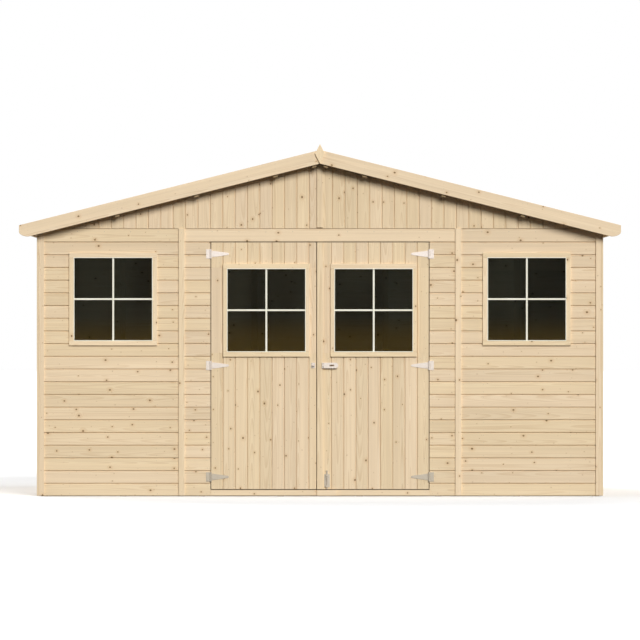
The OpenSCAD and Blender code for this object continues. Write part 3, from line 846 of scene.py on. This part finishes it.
board_wood = pine("board_wood", (232, 214, 184), (204, 171, 128))
trim_wood = pine("trim_wood", (237, 219, 188), (210, 178, 136), knot_share=0.3, darkest=0.96)
frame_wood = pine("frame_wood", (222, 202, 168), (192, 156, 112), darkest=0.9, rough=0.7)
# roof boards painted darker than the walls: painted shade that deepens the shadow on the soffit under the
# eaves
roof_wood = pine("roof_wood", (196, 172, 134), (160, 126, 84), darkest=0.9, rough=0.7)
# purlin wood painted darker than the roof boards: painted shade on the purlin ends under the bargeboards
purlin_wood = pine("purlin_wood", (154, 134, 102), (122, 96, 64), darkest=0.9, rough=0.7)
floor_wood = pine("floor_wood", (214, 192, 156), (180, 146, 104), darkest=0.88, rough=0.7)
bar_paint = glazing_bar_paint()
zinc_metal = zinc_plate("zinc_metal", (185, 175, 167), (211, 201, 192), 0.42)
steel_metal = zinc_plate("steel_metal", (184, 173, 162), (221, 209, 196), 0.42, ground_darkening=0.7)
nail_metal = zinc_plate("nail_metal", (155, 145, 130), (187, 177, 162), 0.45)
screw_metal = zinc_plate("screw_metal", (183, 174, 163), (216, 208, 197), 0.34)
felt_cover = mineral_felt()
glass = window_glass()

# --- Boarding ---


def even_edges(node, pitch):
    """Grooves at an even pitch both ways from the middle, from a node's front to its back."""
    count = math.ceil(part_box(node)[1].y / pitch)
    return [pitch * row for row in range(-count, count + 1)]


wall_edges = [WALL_PITCH * row for row in range(WALL_BOARDS + 1)] + [HEADER_TOP]
front_joints = (-PANEL_JOINT, 0, PANEL_JOINT)
side_joints = (-SIDE_JOINT, SIDE_JOINT)

for node in ("front_cladding_left", "front_cladding_right"):
    planks_from(node, board_wood, X, Z, -Y, wall_edges, (-PANEL_JOINT, PANEL_JOINT))
planks_from("front_header", trim_wood, X, Z, -Y, wall_edges[-2:])
planks_from("back_cladding", board_wood, X, Z, Y, wall_edges, front_joints)
planks_from("left_cladding", board_wood, Y, Z, -X, wall_edges, side_joints)
planks_from("right_cladding", board_wood, Y, Z, X, wall_edges, side_joints)

gable_edges = [-GABLE_FIRST_LEFT - GABLE_PITCH * row for row in reversed(range(GABLE_ROWS))]
gable_edges += [0.0]
gable_edges += [GABLE_FIRST_RIGHT + GABLE_PITCH * row for row in range(GABLE_ROWS)]
for node, outward in (("front_gable", -Y), ("back_gable", Y)):
    planks_from(node, board_wood, Z, X, outward, gable_edges)

door_lines = [DOOR_FIRST + DOOR_PITCH * row for row in range(DOOR_LINES)]
left_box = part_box("left_door_boards")
right_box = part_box("right_door_boards")
left_edges = [left_box[0].x - OVERRUN] + [-line for line in reversed(door_lines)]
left_edges += [left_box[1].x + OVERRUN]
right_edges = [right_box[0].x - OVERRUN, MEETING_LINE] + door_lines + [right_box[1].x + OVERRUN]
for node, edges in (("left_door_boards", left_edges), ("right_door_boards", right_edges)):
    planks_from(node, board_wood, Z, X, -Y, edges)

roof_edges = even_edges("roof_boards_left", ROOF_PITCH)
for node, side in (("roof_boards_left", -1), ("roof_boards_right", 1)):
    down = Vector((side, 0, -ROOF_SLOPE)).normalized()
    underside = Vector((-side * ROOF_SLOPE, 0, -1)).normalized()
    planks_from(node, roof_wood, down, Y, underside, roof_edges)

floor_edges = even_edges("floor_boards", FLOOR_PITCH)
planks_from("floor_boards", floor_wood, X, Y, Z, floor_edges, front_joints, "pine_floor")

# --- Framing and trim ---

for slot, material, timbers in (
    ("pine_framing", frame_wood, ("front_frame", "back_frame", "left_frame", "right_frame")),
    ("pine_framing", purlin_wood, ("roof_purlins",)),
    ("pine_framing", frame_wood, ("left_door_frame", "right_door_frame")),
    ("pine_floor", floor_wood, ("floor_bearers",)),
    ("pine_trim", trim_wood, ("cover_strips", "eaves_boards", "front_bargeboards", "back_bargeboards")),
    ("pine_trim", board_wood, ("corner_strips",)),
    ("pine_trim", trim_wood, ("door_sill", "bolt_keeper", "meeting_strip", "finials")),
):
    for node in timbers:
        wood_from(node, slot, material)
for node in WINDOW_FRAMES:
    wood_from(node, "pine_trim", trim_wood, FRAME_ROUNDING)

# --- Windows ---


def block(across, deep, up, rounding):
    """A block with rounded edges, from its two ends along each axis."""
    solid = bmesh.new()
    bmesh.ops.create_cube(solid, size=1.0)
    for vert in solid.verts:
        vert.co = Vector([ends[vert.co[axis] > 0] for axis, ends in enumerate((across, deep, up))])
    soften(solid, rounding)
    return solid


def glazing(low, high):
    """The crossed bars on a pane between these corners, and the beads round its edge."""
    left = low.x + GLASS_LAP
    right = high.x - GLASS_LAP
    bottom = low.z + GLASS_LAP
    top = high.z - GLASS_LAP
    half = BAR_WIDTH / 2
    bar_left = (left + right) / 2 - half
    bar_right = (left + right) / 2 + half
    bar_height = ((bottom + top) / 2 - half, (bottom + top) / 2 + half)
    back = low.y - GLASS_CLEAR
    front = low.y - BAR_PROUD
    made = [block((bar_left, bar_right), (front, back), (bottom, top), BAR_ROUNDING)]
    for ends in ((left, bar_left), (bar_right, right)):
        made.append(block(ends, (front + BAR_STEP, back), bar_height, BAR_ROUNDING))
    bead = (low.y - BEAD_PROUD, back)
    outer = BEAD_WIDTH - BEAD_INWARD
    for ends in ((left - outer, left + BEAD_INWARD), (right - BEAD_INWARD, right + outer)):
        made.append(block(ends, bead, (bottom + BEAD_INWARD, top - BEAD_INWARD), BEAD_ROUNDING))
    for ends in ((bottom - outer, bottom + BEAD_INWARD), (top - BEAD_INWARD, top + outer)):
        made.append(block((left - outer, right + outer), bead, ends, BEAD_ROUNDING))
    return made


for node in ("wall_window_glass", "left_door_glass", "right_door_glass"):
    nodes[node].data.materials.clear()
    nodes[node].data.materials.append(glass)
    bars = []
    for low, high in solid_boxes(node):
        bars += glazing(low, high)
    mesh = join([mesh_of(bar) for bar in bars])
    mesh_piece(node.replace("glass", "bars"), mesh, body_of(node), "pine_trim", bar_paint)

# --- Ironwork and roofing felt ---

for slot, material, fittings in (
    ("zinc", zinc_metal, ("hinge_plates", "left_door_hinge_straps", "right_door_hinge_straps")),
    ("zinc", zinc_metal, ("hasp_plate", "hasp_strap", "hasp_staple")),
    ("grey_steel", steel_metal, ("bolt_housing", "bolt_rod")),
):
    for node in fittings:
        metal_from(node, slot, material)

felt_low, felt_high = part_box("roofing_felt")
felt_lean = math.atan(ROOF_SLOPE)
felt_crown = felt_high.z - FELT / math.cos(felt_lean)
felt_length = felt_high.x / math.cos(felt_lean)
felt_step = felt_length / FELT_COURSES
felt_sheets = []
felt_nails = Heads("felt_nails", body_of("roofing_felt"), steel_metal)


def on_slope(side, down, lift=0.0):
    """A point over the roof boards: this far down the slope from the ridge, and lifted off it."""
    along = side * down * math.cos(felt_lean) + side * lift * math.sin(felt_lean)
    return Vector((along, 0, felt_crown - down * math.sin(felt_lean) + lift * math.cos(felt_lean)))


def felt_slab(path, seed):
    """A sheet of felt that follows a path across the roof, all the way from front to back."""
    count = len(path)
    points = []
    for layer in (0, 1):
        for row in range(FELT_ROWS + 1):
            y = felt_low.y + (felt_high.y - felt_low.y) * row / FELT_ROWS
            for number, place in enumerate(path):
                before = path[max(number - 1, 0)]
                after = path[min(number + 1, count - 1)]
                run = (after - before).normalized()
                out = Vector((-run.z, 0, run.x))
                wave = noise.noise(Vector((place.x * 5, y * 5, seed)))
                wave += 0.5 * noise.noise(Vector((place.x * 17, y * 13, seed)))
                lift = FELT_WAVE * (1 + wave) / 2 + layer * FELT
                points.append((place.x + out.x * lift, y, place.z + out.z * lift))

    def corner(layer, row, number):
        return layer * (FELT_ROWS + 1) * count + row * count + number

    def side_face(a, b, turn):
        edge = [corner(0, *a), corner(1, *a), corner(1, *b), corner(0, *b)]
        return edge[::turn]

    faces = []
    for row in range(FELT_ROWS):
        for number in range(count - 1):
            quad = [(row, number), (row, number + 1), (row + 1, number + 1), (row + 1, number)]
            faces.append([corner(1, a, b) for a, b in quad])
            faces.append([corner(0, a, b) for a, b in reversed(quad)])
        for number, turn in ((0, 1), (count - 1, -1)):
            faces.append(side_face((row, number), (row + 1, number), turn))
    for number in range(count - 1):
        for row, turn in ((0, -1), (FELT_ROWS, 1)):
            faces.append(side_face((row, number), (row, number + 1), turn))
    return points, faces


def steps_between(start, end, count):
    return [start + (end - start) * step / count for step in range(count + 1)]


def add_felt(path, seed):
    if path[0].x > path[-1].x:
        path = path[::-1]
    felt_sheets.append(felt_slab(path, seed))


def nail_felt(side, down):
    """A line of nails from front to back through the felt."""
    outward = Vector((side * math.sin(felt_lean), 0, math.cos(felt_lean)))
    draw = seeded("felt nails", side, down)
    y = felt_low.y + FELT_NAIL_INSET
    while y < felt_high.y - FELT_NAIL_STOP:
        place = on_slope(side, down + draw.uniform(-NAIL_STRAY, NAIL_STRAY), FELT_NAIL_LIFT)
        place.y = y + draw.uniform(-FELT_NAIL_STRAY, FELT_NAIL_STRAY)
        felt_nails.nail(place, outward, FELT_NAIL, draw.uniform(0, 1))
        y += FELT_NAIL_PITCH


def felt_path(side, low_edge, lowest):
    """A sheet's way down the slope, ending over the sheet below it or turned down over the eaves."""
    high_edge = max(low_edge - felt_step - FELT_LAP, RIDGE_CLEAR)
    lap = low_edge - FELT_LAP
    path = [on_slope(side, down) for down in steps_between(high_edge, lap - LAP_RISE, 22)]
    if not lowest:
        return path + [on_slope(side, down, LAP_LIFT) for down in steps_between(lap, low_edge, 6)]
    path += [on_slope(side, down) for down in steps_between(lap, low_edge - BEND, 4)]
    brim = on_slope(side, low_edge)
    path.append(brim + Vector((-side * 0.0012, 0, -0.0006)))
    for drop in (0.0035, FELT_TURNED / 2, FELT_TURNED):
        path.append(Vector((brim.x, 0, brim.z - drop)))
    return path


for side in (-1, 1):
    for course in range(FELT_COURSES):
        low_edge = felt_length - course * felt_step
        add_felt(felt_path(side, low_edge, course == 0), side * (course + 1))
        if course > 0:
            nail_felt(side, low_edge - LAP_NAILS_IN)
    nail_felt(side, FELT_CAP - CAP_NAILS_IN)
ridge = [on_slope(-1, down, CAP_LIFT) for down in steps_between(FELT_CAP, BEND, 8)]
ridge += [on_slope(1, down, CAP_LIFT) for down in steps_between(BEND, FELT_CAP, 8)]
add_felt(ridge, 7)
felt_body = body_of("roofing_felt")
felt = mesh_piece(
    "felt_sheets", join(felt_sheets), felt_body, "roofing_felt", felt_cover, FELT_SMOOTH
)
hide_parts("roofing_felt")
felt_nails.finish()

# --- Nails and screws ---

heads_on = {}


def heads(node, kind, material):
    """The gathered heads of one kind on the body that this node belongs to."""
    key = (body_of(node), kind)
    if key not in heads_on:
        heads_on[key] = Heads(body_of(node) + "_" + kind, body_of(node), material)
    return heads_on[key]


def nail(node, place, outward, clear, draw=None):
    """A nail where a ray from outside meets a node, unless something lies over it there."""
    hit = outside.reach(node, place, outward, clear)
    if hit is not None:
        turn = draw.uniform(0, 1) if draw else 0.0
        heads(node, "nails", nail_metal).nail(hit, outward, BOARD_NAIL, turn)


def nail_boards(node, outward, along, across, battens, boards, apart, clear=NAIL_CLEAR):
    """Two nails through each board at each batten, where nothing lies over the board there.

    boards are the middles of the boards, and apart is how far each of the two nails is from there.
    """
    face = max(corner.dot(outward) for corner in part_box(node))
    draw = seeded("nails", node)
    for batten in battens:
        for board in boards:
            for offset in (-apart, apart):
                run = batten(board + offset) if callable(batten) else batten
                place = outward * face + along * (run + draw.uniform(-NAIL_STRAY, NAIL_STRAY))
                place += across * (board + offset + draw.uniform(-NAIL_STRAY / 2, NAIL_STRAY / 2))
                nail(node, place, outward, clear, draw)


def nail_strips(node, pitch, inset):
    """Nails along the middle of every batten of a node, on its outer side."""
    for number, (low, high) in enumerate(solid_boxes(node)):
        draw = seeded("strip", node, number)
        size = high - low
        through = min(range(3), key=lambda axis: size[axis])
        along = max(range(3), key=lambda axis: size[axis])
        middle = (low + high) / 2
        outward = Vector((0, 0, 0))
        outward[through] = math.copysign(1, middle[through])
        count = max(1, math.ceil((size[along] - 2 * inset) / pitch))
        for step in range(count + 1):
            place = middle.copy()
            place[through] = high[through] if middle[through] > 0 else low[through]
            place[along] = low[along] + inset + (size[along] - 2 * inset) * step / count
            place[along] += draw.uniform(-NAIL_STRAY, NAIL_STRAY)
            nail(node, place, outward, STRIP_CLEAR, draw)


def nail_bargeboards(node, outward):
    """Pairs of nails through the bargeboards into the purlins and the eaves."""
    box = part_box(node)
    face = box[0].y if outward == -Y else box[1].y
    for x in both(BARGE_NAILS):
        middle = box[1].z - BARGE_MIDDLE - ROOF_SLOPE * abs(x)
        for offset in (-BARGE_NAIL, BARGE_NAIL):
            nail(node, Vector((x, face, middle + offset)), outward, BARGE_CLEAR)


def put_screws(node, places, radius):
    """Screws through a fitting on the front at these places, given as X and Z."""
    draw = seeded("screws", node)
    for x, z in places:
        place = Vector((x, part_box(node)[0].y, z))
        hits = [outside.reach(node, place, -Y, clear) for clear in SCREW_CLEARS]
        hit = hits[0] or hits[1]
        if hit is not None:
            turn = draw.uniform(0, math.pi / 2)
            heads(node, "screws", screw_metal).screw(hit, -Y, radius, turn)


def both(places):
    """Places on both sides of the middle."""
    return [-place for place in places] + list(places)


def middles(edges):
    return [(low + high) / 2 for low, high in zip(edges, edges[1:])]


def rafter(x):
    """Height of the middle of a gable's sloping batten."""
    return RAFTER_TOP - ROOF_SLOPE * abs(x)


def grid(across, up):
    return [(x, z) for x in across for z in up]


def at_hinges(sides, places):
    """Places on every hinge on these sides, from their places round one hinge's pin."""
    return [
        (side * (HINGE_PIN + out), height + rise)
        for side in sides
        for height in HINGE_HEIGHTS
        for out, rise in places
    ]


wall_rows = middles(wall_edges)
for node, outward, along, studs in (
    ("front_cladding_left", -Y, X, both(FRONT_STUDS)),
    ("front_cladding_right", -Y, X, both(FRONT_STUDS)),
    ("back_cladding", Y, X, both(BACK_STUDS)),
    ("left_cladding", -X, Y, both(SIDE_STUDS) + [0]),
    ("right_cladding", X, Y, both(SIDE_STUDS) + [0]),
):
    nail_boards(node, outward, along, Z, studs, wall_rows, WALL_NAIL)
nail_boards("front_header", -Y, X, Z, HEADER_NAILS, [HEADER_MIDDLE], 0.0)
for node, outward in (("front_gable", -Y), ("back_gable", Y)):
    nail_boards(node, outward, Z, X, (GABLE_RAIL, rafter), middles(gable_edges), GABLE_NAIL)
for node, edges, side in (("left_door_boards", left_edges, -1), ("right_door_boards", right_edges, 1)):
    nail_boards(node, -Y, Z, X, DOOR_RAILS, middles(edges), DOOR_NAIL)
    nail_boards(node, -Y, Z, X, STILE_NAILS, [side * stile for stile in DOOR_STILES], 0.0)
nail_boards("floor_boards", Z, X, Y, both(FLOOR_BEARERS), middles(floor_edges), FLOOR_NAIL, FLOOR_CLEAR)

for node in ("corner_strips", "cover_strips", "meeting_strip", "eaves_boards"):
    nail_strips(node, *STRIP_NAILS)
for node in WINDOW_FRAMES:
    nail_strips(node, *WINDOW_NAILS)
nail_strips("door_sill", *SILL_NAILS)
nail_bargeboards("front_bargeboards", -Y)
nail_bargeboards("back_bargeboards", Y)

put_screws("hinge_plates", at_hinges((-1, 1), PLATE_SCREWS), HINGE_SCREW)
put_screws("left_door_hinge_straps", at_hinges((-1,), STRAP_SCREWS), HINGE_SCREW)
put_screws("right_door_hinge_straps", at_hinges((1,), STRAP_SCREWS), HINGE_SCREW)
put_screws("hasp_plate", grid(*HASP_SCREWS), SMALL_SCREW)
put_screws("hasp_staple", grid(*STAPLE_SCREWS), SMALL_SCREW)
put_screws("bolt_housing", grid(*BOLT_SCREWS), SMALL_SCREW)

for gathered in heads_on.values():
    gathered.finish()

# --- Studio ---

VIEW_WIDTH = 4.435  # how much of the front wall's plane the picture spans
VIEW_HEIGHT = 1.221  # height of the lens
VIEW_DISTANCE = 50.0  # from the lens to the front wall
SKY_STRENGTH = 0.04
LAMPS = (  # name, strength, where it shines towards and its spread in degrees
    ("key_light", 3.08, (-0.3, 1.0, -0.48), 24),
    ("left_light", 1.9, (1.0, 0.0, -0.5), 40),
    ("right_light", 1.9, (-1.0, 0.0, -0.5), 40),
    ("back_light", 2.5, (0.25, -1.0, -0.6), 40),
)
FLOOR_SHADE = 0.04  # what the floor throws back
FLOOR_SEEN = 0.9  # what the floor shows to the lens: white, but for the shed's shadow
FLOOR_REACH = 120.0
FLOOR_LEVEL = -0.0005


def lit_or_seen(shader, lighting, seen):
    """Joins two shaders: one lights the shed, and the lens, gloss and glass see the other."""
    path = shader.node("LightPath")
    looked_at = shader.math("MAXIMUM", path["Is Camera Ray"], path["Is Glossy Ray"])
    looked_at = shader.math("MAXIMUM", looked_at, path["Is Transmission Ray"])
    choice = shader.node("MixShader", looked_at, lighting[0], seen[0])
    shader.feed(shader.surface, choice[0])
    shader.tree.nodes.remove(shader.main)


def build_world():
    """A plain soft sky that lights the shed, and plain white wherever it is seen or mirrored."""
    sky = Shader("studio_sky", bpy.data.worlds)
    bpy.context.scene.world = sky.owner
    lighting = sky.node("Background", (1, 1, 1, 1), SKY_STRENGTH)
    lit_or_seen(sky, lighting, sky.node("Background", (1, 1, 1, 1), 1.0))


def build_floor():
    """A pale studio floor that reads as white in the open and keeps the shed's shadow."""
    white = Shader("studio_floor")
    shades = [(shade, shade, shade, 1) for shade in (FLOOR_SHADE, FLOOR_SEEN)]
    lit_or_seen(white, *[white.node("BsdfDiffuse", shade) for shade in shades])
    corners = [
        (side * FLOOR_REACH, way * FLOOR_REACH, FLOOR_LEVEL)
        for side, way in ((-1, -1), (1, -1), (1, 1), (-1, 1))
    ]
    floor = plain_object("studio_floor", corners, [[0, 1, 2, 3]])
    floor.data.materials.append(white.owner)


def build_lamp(name, strength, towards, spread):
    """A lamp like a soft sun that shines in one direction."""
    lamp = bpy.data.lights.new(name, "SUN")
    lamp.energy = strength
    lamp.angle = math.radians(spread)
    sun = bpy.data.objects.new(name, lamp)
    sun.rotation_euler = Vector(towards).to_track_quat("-Z", "Y").to_euler()
    bpy.context.scene.collection.objects.link(sun)


def build_camera():
    lens = bpy.data.cameras.new("camera")
    lens.sensor_width = 36.0
    lens.lens = lens.sensor_width * VIEW_DISTANCE / VIEW_WIDTH
    lens.clip_end = 400.0
    camera = bpy.data.objects.new("camera", lens)
    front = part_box("front_gable")[0].y
    camera.location = (0, front - VIEW_DISTANCE, VIEW_HEIGHT)
    camera.rotation_euler = (math.radians(90), 0, 0)
    bpy.context.scene.collection.objects.link(camera)
    bpy.context.scene.camera = camera


build_world()
build_floor()
for lamp_values in LAMPS:
    build_lamp(*lamp_values)
build_camera()
bpy.context.scene.view_settings.view_transform = "Standard"
